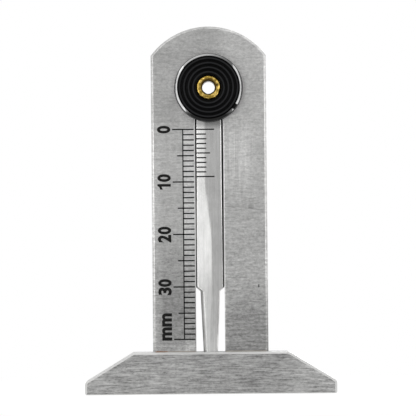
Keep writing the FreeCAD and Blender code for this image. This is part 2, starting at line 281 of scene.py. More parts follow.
world = bpy.data.worlds.new("studio")
bpy.context.scene.world = world
world.use_nodes = True
world.node_tree.nodes.clear()
start = Socket(world.node_tree)
right, ahead, up = start.make("ShaderNodeTexCoord", output="Generated").parts()
lensward = 0 - ahead
left = 0 - right
high_arch = lensward.inside(*ARCH_BAND, BAND_SOFTNESS) * up.rises(*ARCH_RISE) * left.rises(*ARCH_LEFT)
low_arch = lensward.inside(*LOW_ARCH_BAND, BAND_SOFTNESS) * up.inside(*LOW_ARCH_RISE, RISE_SOFTNESS)
arch = high_arch + LOW_ARCH_SHARE * low_arch * left.rises(*LOW_ARCH_LEFT)
glossy = any_ray(start, ["Is Glossy Ray"])
seen = any_ray(start, ["Is Camera Ray", "Is Transmission Ray"])
dark = (CAMERA_SIDE_LEVEL - TENT_LEVEL) * lensward.rises(*CAMERA_SIDE)
fill = (1 - glossy - seen).at_least(0.0) * FILL_LEVEL
level = seen + glossy * (TENT_LEVEL + dark + ARCH_LEVEL * arch) + fill
background = start.make("ShaderNodeBackground", inputs={"Color": (1, 1, 1, 1), "Strength": level})
start.make("ShaderNodeOutputWorld", inputs={"Surface": background})
print("a white room of", len(world.node_tree.nodes), "nodes")

# %% [markdown]
# ## The floor
# The floor carries the tool's shadow and nothing else. It glows a little to the camera, so that it
# joins the background, and is lit for the rest. It is a small disc that turns fully white towards
# its edge: a larger one would hide the probe from low views when the slide is down, and a plane
# without an end would show a grey horizon.

# %% Lay the floor
FLOOR_RADIUS = 0.075
FLOOR_FADE = (0.035, 0.070)
FLOOR_GLOW = 0.86
FLOOR_COLOUR = (0.22, 0.22, 0.22, 1)

floor_mesh = bpy.data.meshes.new("floor")
ring = bmesh.new()
bmesh.ops.create_circle(ring, cap_ends=True, segments=96, radius=FLOOR_RADIUS)
ring.to_mesh(floor_mesh)
ring.free()
floor = bpy.data.objects.new("floor", floor_mesh)
bpy.context.scene.collection.objects.link(floor)

floor_material = bpy.data.materials.new("floor")
floor_material.use_nodes = True
floor_material.node_tree.nodes.clear()
start = Socket(floor_material.node_tree)
ground = start.make("ShaderNodeTexCoord", output="Object")
far = start.make("ShaderNodeVectorMath", {"operation": "LENGTH"}, {0: ground}, "Value").rises(*FLOOR_FADE)
seen = any_ray(start, ["Is Camera Ray", "Is Glossy Ray", "Is Transmission Ray"])
glow = start.make("ShaderNodeEmission", inputs={"Strength": seen * (FLOOR_GLOW + (1 - FLOOR_GLOW) * far)})
matt = start.make("ShaderNodeBsdfDiffuse", inputs={"Color": FLOOR_COLOUR})
near_floor = start.make("ShaderNodeAddShader", inputs={0: glow, 1: matt})
white = start.make("ShaderNodeEmission", inputs={"Strength": seen})
both = start.make("ShaderNodeMixShader", inputs={0: far, 1: near_floor, 2: white})
start.make("ShaderNodeOutputMaterial", inputs={"Surface": both})
floor_mesh.materials.append(floor_material)
print("floor of", FLOOR_RADIUS, "m round the foot")

# %% [markdown]
# ## Starting a material
# Each finish below is a recipe: a function that is given the coordinates of the point, in
# millimetres, and returns what goes into the shader's sockets. Object coordinates are used because
# each piece's object sits at the origin, so a pattern stays put when the piece is moved or exported.
# Values that are the same all over go straight on the shader's sockets as numbers.

# %% Turn recipes into materials
AXIS_Z = slide_axis.z / MM


class Place:
    """Where a point of the surface is, in millimetres, as a vector and as x, y and z."""

    def __init__(self, start):
        self.start = start
        metres = start.make("ShaderNodeTexCoord", output="Object")
        scaling = {"operation": "SCALE"}
        self.vector = start.make("ShaderNodeVectorMath", scaling, {0: metres, "Scale": 1 / MM})
        self.x, self.y, self.z = self.vector.parts()

    def noise(self, grain, seed=0.0, detail=2.0, roughness=0.5):
        """Noise from 0 to 1 whose spots are about as large as the grain, one size for each axis."""
        stretch = tuple(1 / size for size in grain)
        mapping = {"Vector": self.vector, "Location": (seed, seed, seed), "Scale": stretch}
        moved = self.start.make("ShaderNodeMapping", inputs=mapping)
        inputs = {"Vector": moved, "Scale": 1.0, "Detail": detail, "Roughness": roughness}
        return self.start.make("ShaderNodeTexNoise", inputs=inputs, output=0)

    def from_axis(self):
        """The distance from the slide's axis, which runs along Y."""
        up = self.z - AXIS_Z
        return (self.x * self.x + up * up).root()

    def side_facing(self, low=0.95, high=0.80):
        """1 where the surface doesn't look to the front or the back, as on a bevel."""
        (facing,) = self.start.make("ShaderNodeNewGeometry", output="Normal").parts("Y")
        return abs(facing).rises(low, high)

    def spot(self, x, z, radius):
        """1 at a point of the front, fading to 0 at the radius."""
        across, up = self.x - x, self.z - z
        return (across * across + up * up).rises(radius * radius, 0.0)

    def blend(self, factor, first, second):
        """A colour between two colours; each is a grey level, a colour or a link."""
        colours = [(c, c, c, 1) if isinstance(c, float) else c for c in (first, second)]
        inputs = {0: factor, 6: colours[0], 7: colours[1]}
        return self.start.make("ShaderNodeMix", {"data_type": "RGBA"}, inputs, 2)

    def bump(self, height, depth):
        """A normal that follows a height from 0 to 1, which stands for a depth in millimetres."""
        inputs = {"Height": height, "Strength": 1.0, "Distance": depth * MM}
        return self.start.make("ShaderNodeBump", inputs=inputs)


def material_from(recipe):
    """A material named after its recipe."""
    material = bpy.data.materials.new(recipe.__name__)
    material.use_nodes = True
    material.node_tree.nodes.clear()
    start = Socket(material.node_tree)
    shader = start.make("ShaderNodeBsdfPrincipled", inputs=recipe(Place(start)))
    start.make("ShaderNodeOutputMaterial", inputs={"Surface": shader})
    print("material", recipe.__name__, "has", len(material.node_tree.nodes), "nodes")
    return material


# %% [markdown]
# ## Brushed stainless steel
# The plate and the foot are ground on a belt, which leaves fine parallel scratches. A picture of
# the steel would not survive a change of light, so the grain is noise that is stretched a long way
# along the brushing and hardly at all across it. It moves the colour, the roughness and a very
# shallow bump. Under it lie rounder mottles, where the belt skipped, and slow patches, which keep
# large faces from looking printed.

# %% The steel that the others share
MOTTLE_SIZE = (0.7, 0.7, 0.45)
PATCH_SIZE = (8.0, 8.0, 6.0)


def brushed(place, level, along, seed=0.0, grain=1.0, mottle=1.5, patch=0.3, roughness=0.34):
    """A tone, a height and a roughness: grain along the belt, mottles and patches, as shares of a level."""
    fine = place.noise(along, seed, detail=5.0, roughness=0.78)
    spots = place.noise(MOTTLE_SIZE, seed + 3.0, detail=5.0, roughness=0.85)
    broad = place.noise(PATCH_SIZE, seed + 7.0, detail=1.0)
    tone = 1 + grain * (fine - 0.5) + mottle * (spots - 0.5) + patch * (broad - 0.5)
    return level * tone, fine, roughness + 0.22 * (fine - 0.5)


def steel_sockets(place, tone, height, roughness, depth, tint=(1.0, 0.998, 0.985, 1)):
    """What a bare steel puts into its shader."""
    return {
        "Base Color": place.blend(tone, 0.0, tint),
        "Metallic": 1.0,
        "Roughness": roughness,
        "Normal": place.bump(height, depth),
    }


print("brushed steel: a grain, mottles of", MOTTLE_SIZE, "mm and patches of", PATCH_SIZE, "mm")

# %% [markdown]
# ## The plate's own marks
# Use and making have left their traces on the plate. The steel is streaky and duller above the foot, where
# the brazing flame heated it, and duller still beside the lower scale. It is brighter to the right of the
# slot, where a thumb has rubbed upright streaks into it, and paler in the strip that was etched for the
# scale. Below the middle there are two falling scratches, a small grey smudge and one dark speck. Two masks
# paint light instead: a darker patch just left of the knob is painted shade of the knob, and the bevels are
# painted a little lighter as a painted highlight. All of it could be painted on a texture by hand, but a soft
# mask that is placed in millimetres stays sharp at any distance, and each mask changes the tone by a share
# that can be read.

# %% Plate steel
FOOT_TOP_Z = foot_top / MM


def changed(tone, *changes):
    """A tone that is lightened or darkened by shares, one after another."""
    for change in changes:
        tone = tone * (1 + change)
    return tone


def plate_steel(place):
    x, z = place.x, place.z
    coarse = 0.75 + 0.40 * z.rises(42.0, 14.0)
    tone, fine, roughness = brushed(place, 0.54, (2.2, 2.2, 0.30), grain=1.3 * coarse, mottle=1.8 * coarse)
    right = x.rises(1.0, 4.0)
    upper_right = right * z.rises(32.0, 46.0)
    upper_left = z.rises(59.0, 65.0) * x.rises(5.0, -1.0)
    # painted shade of the knob: the plate is darkened just left of it
    painted_knob_shade = z.inside(52.0, 57.5, 2.0) * x.rises(-5.5, -7.0)
    left_margin = z.inside(28.0, 47.0, 4.0) * x.rises(-8.8, -9.8)
    heated = z.rises(27.0, 9.0)
    burn = place.noise((3.2, 3.2, 0.40), 21.0, detail=3.0, roughness=0.6)
    rubbed = x.inside(3.2, 8.2, 1.2) * z.inside(38.0, 51.0, 5.0)
    streaks = place.noise((0.30, 0.30, 9.0), 23.0, detail=3.0)
    dulled = z.rises(39.0, 16.0) * z.rises(FOOT_TOP_Z, FOOT_TOP_Z + 3.0)
    dulled = dulled * x.rises(-11.0, -8.5) * x.rises(0.0, -1.0)
    etched = x.inside(-4.8, -2.9, 0.15) * z.inside(FOOT_TOP_Z, marks_high.z / MM, 0.2)
    fall = z + 0.13 * x + 0.5 * (place.noise((2.0, 2.0, 2.0), 25.0) - 0.5)
    scratch = fall.inside(36.15, 36.25, 0.10) * x.inside(3.4, 9.8, 0.5)
    second_scratch = fall.inside(39.15, 39.22, 0.08) * x.inside(5.0, 9.4, 0.6)
    smudge = place.spot(7.9, 35.6, 0.75)
    speck = x.inside(9.13, 9.35, 0.05) * z.inside(20.22, 20.78, 0.10)
    tone = changed(
        tone,
        heated * (0.7 * (burn - 0.55) - 0.14 - 0.30 * right),
        rubbed * (0.14 + 0.9 * (streaks - 0.5)),
        -0.38 * dulled,
        (0.30 - 0.13 * dulled) * etched,
        0.10 * upper_right,
        -0.11 * upper_left,
        -0.15 * painted_knob_shade,
        0.12 * left_margin,
        # painted highlight: the plate's bevels are painted a little lighter
        0.06 * place.side_facing(),
        -0.34 * scratch - 0.24 * second_scratch - 0.22 * smudge - 0.85 * speck,
    )
    return steel_sockets(place, tone, fine, roughness + 0.10 * heated, 0.010)


PLATE_STEEL = material_from(plate_steel)

# %% [markdown]
# ## The foot's steel
# The cheeks are cut from thicker bar and ground more coarsely. Their faces have small stains and are paler at
# the ends, where hands rub them. Their bevels were filed after the grinding, so there one even tone takes
# over from the grain; that tone is much lighter than the faces, as a painted highlight. The top of the rear
# cheek is painted dark, as painted shade along the top of the foot. It could be a material of its own, but a
# mask keeps the cheek in one piece.

# %% Foot steel


def foot_steel(place):
    tone, fine, roughness = brushed(place, 0.36, (3.0, 3.0, 0.24), seed=3.0, grain=3.2, mottle=1.7, patch=0.4)
    stains = place.noise((1.2, 1.2, 0.5), 27.0, detail=3.0).rises(0.66, 0.74)
    right_end = place.x.rises(12.0, 20.0)
    left_end = place.x.rises(-16.0, -21.0)
    bottom = place.z.rises(4.0, 2.0)
    sloping = 1 - place.x.inside(-15.0, 15.0, 1.0)
    # painted shade: the top of the rear cheek is darkened
    painted_top_shade = place.y.rises(0.70, 0.80) * place.z.rises(FOOT_TOP_Z - 0.2, FOOT_TOP_Z - 0.1)
    tone = changed(tone, -0.35 * stains, 0.19 * right_end + 0.10 * left_end - 0.06 * bottom)
    # filed bevels with one even tone, painted lighter than the faces as a painted highlight
    filed_and_painted_highlight = 0.68 - 0.08 * sloping
    tone = changed(tone + place.side_facing() * (filed_and_painted_highlight - tone), -0.9 * painted_top_shade)
    return steel_sockets(place, tone, fine, roughness, 0.014)


FOOT_STEEL = material_from(foot_steel)

# %% [markdown]
# ## The blade's steel
# The blade is drawn strip, ground lengthwise and smoother than the plate, so its grain runs upright
# and is faint. What its faces mirror does most of the work. Masks darken what they shade from each
# other: the left bevel, both long edges in the slot, the crease along the flanks below the shoulder,
# and the strip's end under the knob. They could be separate materials, but then each border would
# need an edge in the mesh.

# %% Blade steel
SHOULDER_Z = 20.3 * MM


def blade_steel(place):
    fine = place.noise((0.30, 0.30, 14.0), 5.0, detail=3.0, roughness=0.6)
    broad = place.noise((1.6, 1.6, 4.0), 6.0, detail=4.0, roughness=0.7)
    side = place.side_facing()
    above_root = place.z.rises(SHOULDER_Z / MM - 0.5, SHOULDER_Z / MM + 0.3)
    flank = side * (1 - above_root)
    crease = (place.side_facing(0.985, 0.94) - side) * (1 - above_root)
    left_bevel = side * above_root * place.x.rises(0.5, -0.5)
    left_edge = place.x.rises(-2.46, -2.54) * above_root
    right_edge = place.x.rises(2.30, 2.42) * place.z.rises(22.5, 31.0)
    tone = changed(
        0.65 * (1 + 0.30 * (fine - 0.5) + 0.40 * (broad - 0.5)),
        1.2 * flank * (broad - 0.5),
        0.08 * place.z.rises(21.0, 17.0),
        -0.65 * crease,
        -0.55 * left_bevel,
        -0.50 * left_edge,
        -0.80 * right_edge,
        -0.55 * place.z.rises(50.1, 51.7),
    )
    return steel_sockets(place, tone, fine, 0.20 + 0.10 * (fine - 0.5) + 0.12 * flank, 0.002)


BLADE_STEEL = material_from(blade_steel)

# %% [markdown]
# ## The small steels
# The spring washer has the brown tint of spring steel, and the small washer is tumbled bright, with
# a grain that has no direction. Both could have recipes of their own, but they differ from the plate
# only in numbers, so they reuse its grain.

# %% Spring and washer steel


def spring_steel(place):
    tone, fine, roughness = brushed(place, 0.38, (1.0, 1.0, 0.3), seed=9.0)
    return steel_sockets(place, tone, fine, roughness, 0.006, (1.0, 0.97, 0.92, 1))


def washer_steel(place):
    tone, fine, roughness = brushed(place, 0.50, (0.4, 0.4, 0.4), seed=11.0, roughness=0.28)
    return steel_sockets(place, tone, fine, roughness, 0.004)


SPRING_STEEL = material_from(spring_steel)
WASHER_STEEL = material_from(washer_steel)

# %% [markdown]
# ## Brass and brazing metal
# The eyelet is soft brass that the closing tool has marked, so its colour runs from pale gold to brown. The
# bore is dark brown, partly dull patina and partly painted shade of the deep hole, and the dark band is wider
# at the top. It is also darkest along the crimped outer edge and in its split. The brazing is greyer, and
# burnt brown at the left end of its seam. One mask for each place is enough, because the dents themselves are
# in the mesh.

# %% Brass and brazing
BRIGHT_GOLD = (0.76, 0.54, 0.15, 1)
DULL_GOLD = (0.30, 0.20, 0.035, 1)
DEEP_BROWN = (0.09, 0.055, 0.012, 1)
BRAZE_GREY = (0.36, 0.34, 0.31, 1)
BURNT_BRAZE = (0.22, 0.10, 0.05, 1)


def round_axis(radius, degrees):
    """A point of the front in X and Z, in millimetres, at an angle round the slide's axis."""
    angle = math.radians(degrees)
    return radius * math.cos(angle), AXIS_Z + radius * math.sin(angle)


SPLIT_PLACE = round_axis(1.62, 15)


def eyelet_brass(place):
    outwards = place.from_axis()
    dents = place.noise((0.7, 0.7, 0.7), 2.0, detail=3.0)
    blotches = place.noise((0.8, 0.8, 0.8), 6.0, detail=3.0).rises(0.36, 0.60)
    # painted shade in the bore, together with its dull patina; the band is wider at the top
    bore_patina_and_shade = (outwards - 0.09 * (place.z - AXIS_Z)).rises(1.74, 1.44)
    crimped = outwards.rises(1.95, 2.25) * dents.rises(0.40, 0.62)
    brown = bore_patina_and_shade.at_least(crimped).at_least(place.spot(*SPLIT_PLACE, 0.42))
    return {
        "Base Color": place.blend(brown, place.blend(blotches, BRIGHT_GOLD, DULL_GOLD), DEEP_BROWN),
        "Metallic": 1.0,
        "Roughness": 0.18 + 0.25 * dents,
        "Normal": place.bump(dents, 0.04),
    }


def braze_metal(place):
    flow = place.noise((0.5, 0.3, 0.3), 4.0, detail=3.0)
    burnt = place.x.inside(-10.6, -8.2, 0.3) * flow.rises(0.30, 0.55)
    return {
        "Base Color": place.blend(burnt, BRAZE_GREY, BURNT_BRAZE),
        "Metallic": 1.0 - 0.6 * burnt,
        "Roughness": 0.35 + 0.3 * flow,
        "Normal": place.bump(flow, 0.04),
    }


EYELET_BRASS = material_from(eyelet_brass)
BRAZE_METAL = material_from(braze_metal)

# %% [markdown]
# ## Black plastic
# The knob is moulded in black plastic, matt from handling but for the bevel of its rim, which has
# stayed glossy. The gloss is a coat that a mask keeps to the bevel, weaker towards the bottom and
# missing at one small nick. The crests of the rings are worn a little paler, at the same pitch as
# the rings have in the mesh, so both take it from one value. The rear disc is plain.

# %% Knob and disc plastic
KNOB_SIDE_LEAN = 0.12 * MM
KNOB_BEVEL = 0.45 * MM
RING_PITCH = 0.87 * MM
GLOSSY_WIDTH = 0.37
NICK_PLACE = round_axis(6.15, -36.5)

knob_radius = (knob_high.x - knob_low.x) / 2
rim_radius = knob_radius - KNOB_SIDE_LEAN - KNOB_BEVEL


def knob_plastic(place):
    outwards = place.from_axis()
    mottle = place.noise((1.2, 1.2, 1.2), 8.0, detail=3.0)
    bevel = outwards.inside(rim_radius / MM, rim_radius / MM + GLOSSY_WIDTH, 0.04)
    rings_inwards = (rim_radius / MM - outwards) / (RING_PITCH / MM)
    from_crest = abs(place.start.maths("FRACT", rings_inwards) - 0.5)
    worn = from_crest.rises(0.24, 0.03) * (1 - bevel)
    bottom = (place.z - AXIS_Z).rises(-4.4, -5.3)
    nick = place.spot(*NICK_PLACE, 0.70).rises(0.10, 0.40)
    return {
        "Base Color": place.blend(worn, (0.0010, 0.0010, 0.0011, 1), (0.0190, 0.0195, 0.0205, 1)),
        "Roughness": 0.30 + 0.14 * mottle,
        "Specular IOR Level": 0.05,
        "Coat Weight": bevel * (1 - nick) * (1 - 0.88 * bottom) * (0.6 + 0.4 * mottle),
        "Coat Roughness": 0.06,
        "Coat IOR": 2.3,
        "Normal": place.bump(mottle, 0.01),
    }


def disc_plastic(place):
    mottle = place.noise((0.6, 0.6, 0.6), 13.0, detail=3.0)
    return {
        "Base Color": place.blend(mottle, (0.0045, 0.0045, 0.0048, 1), (0.008, 0.008, 0.008, 1)),
        "Roughness": 0.34 + 0.12 * mottle,
        "Specular IOR Level": 0.40,
        "Normal": place.bump(mottle, 0.01),
    }


KNOB_PLASTIC = material_from(knob_plastic)
DISC_PLASTIC = material_from(disc_plastic)

# %% [markdown]
# ## Paint
# The marks are a baked enamel that fills shallow lines: almost black, and dull, because it has to be
# read against steel that shines. One flat black would do from afar and would look like a hole from
# near by, so a fine noise moves its tone, its roughness and its surface a little.

# %% Mark paint


def mark_paint(place):
    body = place.noise((0.3, 0.3, 0.12), 10.0, detail=2.0)
    return {
        "Base Color": place.blend(body, (0.005, 0.005, 0.005, 1), (0.012, 0.012, 0.011, 1)),
        "Roughness": 0.55 + 0.2 * body,
        "Specular IOR Level": 0.15,
        "Normal": place.bump(body, 0.006),
    }


MARK_PAINT = material_from(mark_paint)

# %% [markdown]
# ## Rounding over what the construction left sharp
# The plate and the cheeks have the right shape already, with their bevels, but a real edge is never
# perfectly sharp: tumbling rounds it by a tenth of a millimetre, and that thin rounding is what
# catches the light. The meshes of the frame are loose triangles, so a copy is merged and its flat
# faces joined first. Then a Bevel modifier rounds the edges, less at the narrow lips of the slot
# than outside, and weighted normals keep the flat faces flat.

# %% Keep what modifiers make
SHARP_ANGLE = 35


def new_piece(name, mesh, material=None):
    """An object at the origin, with a mesh that holds its place."""
    piece = bpy.data.objects.new(name, mesh)
    bpy.context.scene.collection.objects.link(piece)
    if material is not None:
        mesh.materials.append(material)
    return piece


def settle(piece):
    """Keeps what the modifiers make of a piece as its plain mesh, and takes them off."""
    graph = bpy.context.evaluated_depsgraph_get()
    mesh = bpy.data.meshes.new_from_object(piece.evaluated_get(graph), depsgraph=graph)
    mesh.name = piece.name
    piece.modifiers.clear()
    piece.data = mesh
    return piece


def weigh_normals(piece):
    """Lets the large faces decide how the light runs over the small ones beside them."""
    piece.data.shade_smooth()
    piece.data.set_sharp_from_angle(angle=math.radians(SHARP_ANGLE))
    modifier = piece.modifiers.new("weighted normals", "WEIGHTED_NORMAL")
    modifier.weight = 90
    modifier.keep_sharp = True
    return settle(piece)


print("edges over", SHARP_ANGLE, "degrees stay sharp")

# %% Soften a copy of a node
SAME_SPOT = 0.0005 * MM
FLAT_ANGLE = math.radians(0.4)
EDGE_ANGLE = math.radians(20)
PLATE_ROUND = 0.08 * MM
CHEEK_ROUND = 0.10 * MM
SLOT_LIP_X = 2.95 * MM
RIGHT_LIP_SHARE = 0.6
LEFT_LIP_SHARE = 0.15


def softened_copy(node, width, share_at, material):
    """A copy of a node with its edges rounded to a width, or to the share of it that share_at gives."""
    work = bmesh.new()
    work.from_mesh(nodes[node].data)
    bmesh.ops.remove_doubles(work, verts=work.verts, dist=SAME_SPOT)
    bmesh.ops.dissolve_limit(work, angle_limit=FLAT_ANGLE, verts=work.verts, edges=work.edges)
    weights = work.edges.layers.float.new("bevel_weight_edge")
    for edge in work.edges:
        if len(edge.link_faces) == 2 and edge.calc_face_angle() > EDGE_ANGLE:
            edge[weights] = share_at((edge.verts[0].co + edge.verts[1].co) / 2)
    mesh = bpy.data.meshes.new(node + "_soft")
    work.to_mesh(mesh)
    work.free()
    piece = new_piece(node + "_soft", mesh)
    mesh.materials.clear()
    mesh.materials.append(material)
    bevel = piece.modifiers.new("rounding", "BEVEL")
    bevel.limit_method = "WEIGHT"
    bevel.width = width
    bevel.segments = 3
    settle(piece)
    weigh_normals(piece)
    print(piece.name, len(piece.data.polygons), "faces")
    return piece


def plate_share(point):
    """The slot's lips are rounded less than the outside, the left one least."""
    if abs(point.x) > SLOT_LIP_X:
        return 1.0
    return RIGHT_LIP_SHARE if point.x > 0 else LEFT_LIP_SHARE


plate = softened_copy("scale_plate", PLATE_ROUND, plate_share, PLATE_STEEL)
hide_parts("scale_plate")
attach(plate, "gauge_frame")

for node in ("foot_front_cheek", "foot_rear_cheek"):
    cheek = softened_copy(node, CHEEK_ROUND, lambda point: 1.0, FOOT_STEEL)
    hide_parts(node)
    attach(cheek, "gauge_frame")

# %% [markdown]
# ## Geometry trees and their inputs
# What repeats or follows a rule is made by Geometry Nodes. A tree is built here like a material:
# its sizes are named inputs, so one tree serves several pieces. A modifier's input is set by the
# socket's identifier, because two sockets may share a name, and the result is kept as a plain mesh.

# %% Build and run a tree
NO_LENGTH = 0.0002 * MM


def geometry_tree(name, sizes):
    """A tree with one named input for each size. Returns it with its inputs as sockets."""
    tree = bpy.data.node_groups.new(name, "GeometryNodeTree")
    sockets = {"Geometry": "Geometry", **sizes}
    for label, kind in sockets.items():
        tree.interface.new_socket(label, in_out="INPUT", socket_type="NodeSocket" + kind)
    tree.interface.new_socket("Geometry", in_out="OUTPUT", socket_type="NodeSocketGeometry")
    entry = tree.nodes.new("NodeGroupInput")
    return tree, {label: Socket(tree, entry.outputs[label]) for label in sockets}


def end_tree(geometry, material):
    """The last nodes of every tree."""
    real = geometry.make("GeometryNodeRealizeInstances", inputs={0: geometry})
    dressed = geometry.make("GeometryNodeSetMaterial", inputs={"Geometry": real, "Material": material})
    geometry.make("NodeGroupOutput", inputs={0: dressed})


def run_tree(piece, tree, values):
    """Runs a tree on a piece, with its inputs set by identifier, and keeps the result."""
    modifier = piece.modifiers.new(tree.name, "NODES")
    modifier.node_group = tree
    for item in tree.interface.items_tree:
        if item.in_out == "INPUT" and item.name in values:
            modifier[item.identifier] = values[item.name]
    return settle(piece)


def face_outwards(piece):
    """Merges what lies on the same spot, drops faces without area, and turns every face outwards."""
    work = bmesh.new()
    work.from_mesh(piece.data)
    bmesh.ops.remove_doubles(work, verts=work.verts, dist=SAME_SPOT)
    bmesh.ops.dissolve_degenerate(work, edges=work.edges, dist=NO_LENGTH)
    bmesh.ops.recalc_face_normals(work, faces=work.faces)
    work.to_mesh(piece.data)
    work.free()


print("trees can be built and run")

# %% [markdown]
# ## A lathe
# The knob, the eyelet, the rear disc and the washer are all turned or moulded round one axis. Spin
# in the mesh editor would do it, but as a tree the lathe has an input for its steps: a grid with as
# many rows as the profile has points is rolled up round the axis, and each row takes its radius and
# depth from its own point of the profile. The profile is a closed chain of points: radius in X,
# depth in Y.

# %% The lathe tree


def build_lathe():
    sizes = {"Steps": "Int", "Height": "Float", "Material": "Material"}
    tree, given = geometry_tree("lathe", sizes)
    profile = given["Geometry"]
    count = profile.make("GeometryNodeAttributeDomainSize", {"component": "MESH"}, {0: profile})
    columns = given["Steps"] + 1
    grid_sizes = {"Size X": 1.0, "Size Y": 1.0, "Vertices X": count, "Vertices Y": columns}
    grid = profile.make("GeometryNodeMeshGrid", inputs=grid_sizes)
    index = profile.make("GeometryNodeInputIndex")
    row = profile.maths("FLOOR", (index + 0.5) / columns)
    column = index - row * columns
    sample = {"Geometry": profile, "Value": profile.make("GeometryNodeInputPosition"), "Index": row}
    point = profile.make("GeometryNodeSampleIndex", {"data_type": "FLOAT_VECTOR"}, sample)
    radius, depth = point.parts("XY")
    angle = column / given["Steps"] * (2 * math.pi)
    across = radius * profile.maths("COSINE", angle)
    upward = radius * profile.maths("SINE", angle) + given["Height"]
    rolled = profile.joined(across, depth, upward)
    turned = profile.make("GeometryNodeSetPosition", inputs={"Geometry": grid, "Position": rolled})
    closed = profile.make("GeometryNodeMergeByDistance", inputs={"Geometry": turned, "Distance": NO_LENGTH})
    end_tree(closed, given["Material"])
    return tree


LATHE = build_lathe()
print("the lathe has", len(LATHE.nodes), "nodes")

# %% Turn a profile


def arc(centre, radius, start, end, steps):
    """Points on an arc, from one angle to another in degrees, in radius and depth."""
    points = []
    for step in range(steps + 1):
        angle = math.radians(start + (end - start) * step / steps)
        points.append((centre[0] + radius * math.cos(angle), centre[1] + radius * math.sin(angle)))
    return points


def turn_piece(name, profile, material, steps=192):
    """Turns a closed profile, in metres, round the slide's axis."""
    mesh = bpy.data.meshes.new(name)
    points = [(radius, depth, 0.0) for radius, depth in [*profile, profile[0]]]
    mesh.from_pydata(points, [(i, i + 1) for i in range(len(profile))], [])
    piece = new_piece(name, mesh)
    run_tree(piece, LATHE, {"Steps": steps, "Height": slide_axis.z, "Material": material})
    face_outwards(piece)
    weigh_normals(piece)
    print(name, "turned from", len(profile), "points,", len(piece.data.polygons), "faces")
    return piece


print("a quarter of a circle has", len(arc((0, 0), 1, 0, 90, 4)), "points")

# %% [markdown]
# ## The thumb knob
# The knob is a moulded black disc with a bevelled rim, a slightly dished face and four low rings that
# give the thumb its grip. Its profile could be drawn point by point, but it follows a rule: the face
# sinks evenly towards the middle, and each ring is a smooth crest one pitch from the next. The bevel
# matters most, because it carries the two bright crescents that make the disc look round.

# %% Turn the knob
DISC_GAP = 0.12 * MM
KNOB_BEVEL_DEPTH = 0.22 * MM
KNOB_DISH = 0.45 * MM
RING_DEPTH = 0.22 * MM
RING_COUNT = 4
RING_CREST = 0.10 * MM
RING_SAMPLES = 72
WELL_RADIUS = 2.42 * MM
WELL_DEPTH = 0.50 * MM
BARREL_HOLE = 1.55 * MM
BOSS_RADIUS = 2.20 * MM
SMALL_ROUND = 0.06 * MM
KNOB_EDGE_ROUND = 0.10 * MM

knob_face = knob_low.y
knob_back = plate_front - DISC_GAP
flange_seat = knob_face + KNOB_DISH + RING_DEPTH + WELL_DEPTH


def smooth(share):
    """A share from 0 to 1 that starts and ends gently."""
    share = min(max(share, 0.0), 1.0)
    return share * share * (3 - 2 * share)


def knob_surface(radius):
    """The depth of the ringed face at a radius."""
    dish = KNOB_DISH * (rim_radius - radius) / (rim_radius - WELL_RADIUS)
    from_crest = abs((rim_radius - radius) / RING_PITCH % 1 - 0.5) * RING_PITCH
    if rim_radius - radius > RING_COUNT * RING_PITCH:
        from_crest = RING_PITCH / 2
    fall = smooth((from_crest - RING_CREST) / (RING_PITCH / 2 - RING_CREST))
    return knob_face + dish + RING_DEPTH * fall


knob_profile = [(BARREL_HOLE, flange_seat), (BARREL_HOLE, knob_high.y), (BOSS_RADIUS, knob_high.y)]
knob_profile += [(BOSS_RADIUS, knob_back)]
knob_profile += arc((knob_radius - SMALL_ROUND, knob_back - SMALL_ROUND), SMALL_ROUND, 90, 0, 4)
bevel_lean = math.atan2(KNOB_BEVEL_DEPTH, KNOB_BEVEL)
bevel_flat = KNOB_BEVEL - KNOB_EDGE_ROUND
turn_depth = knob_face + bevel_flat * math.tan(bevel_lean) + KNOB_EDGE_ROUND / math.cos(bevel_lean)
bevel_turn = (rim_radius + bevel_flat, turn_depth)
knob_profile += arc(bevel_turn, KNOB_EDGE_ROUND, 0, math.degrees(bevel_lean) - 90, 6)
knob_profile += [(rim_radius, knob_face)]
inner_rim = rim_radius - SMALL_ROUND
for sample in range(RING_SAMPLES + 1):
    radius = inner_rim + (WELL_RADIUS + SMALL_ROUND - inner_rim) * sample / RING_SAMPLES
    knob_profile.append((radius, knob_surface(radius)))
well_edge = knob_surface(WELL_RADIUS) + SMALL_ROUND
knob_profile += arc((WELL_RADIUS + SMALL_ROUND, well_edge), SMALL_ROUND, 270, 180, 3)[1:]
knob_profile += [(WELL_RADIUS, flange_seat)]
knob = turn_piece("ringed_knob", knob_profile, KNOB_PLASTIC)
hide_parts("thumb_knob")
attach(knob, "slider")

# %% [markdown]
# ## The eyelet
# A brass eyelet is the rivet that holds the slide together. Its tube goes through knob, blade and
# rear disc, its front is rolled over into a ring and its back is pressed flat. The rolling tool
# leaves shallow dents and, here, one small split. The profile is turned on the same lathe, and a
# second tree presses the dents: each point moves along its normal by a noise with a fixed seed,
# and the points near the split sink a little.

# %% The dents tree
DENT_FLOATS = (
    "Spot", "Depth", "Behind", "Seed", "Split X", "Split Z", "Split Length", "Split Width", "Split Depth",
)


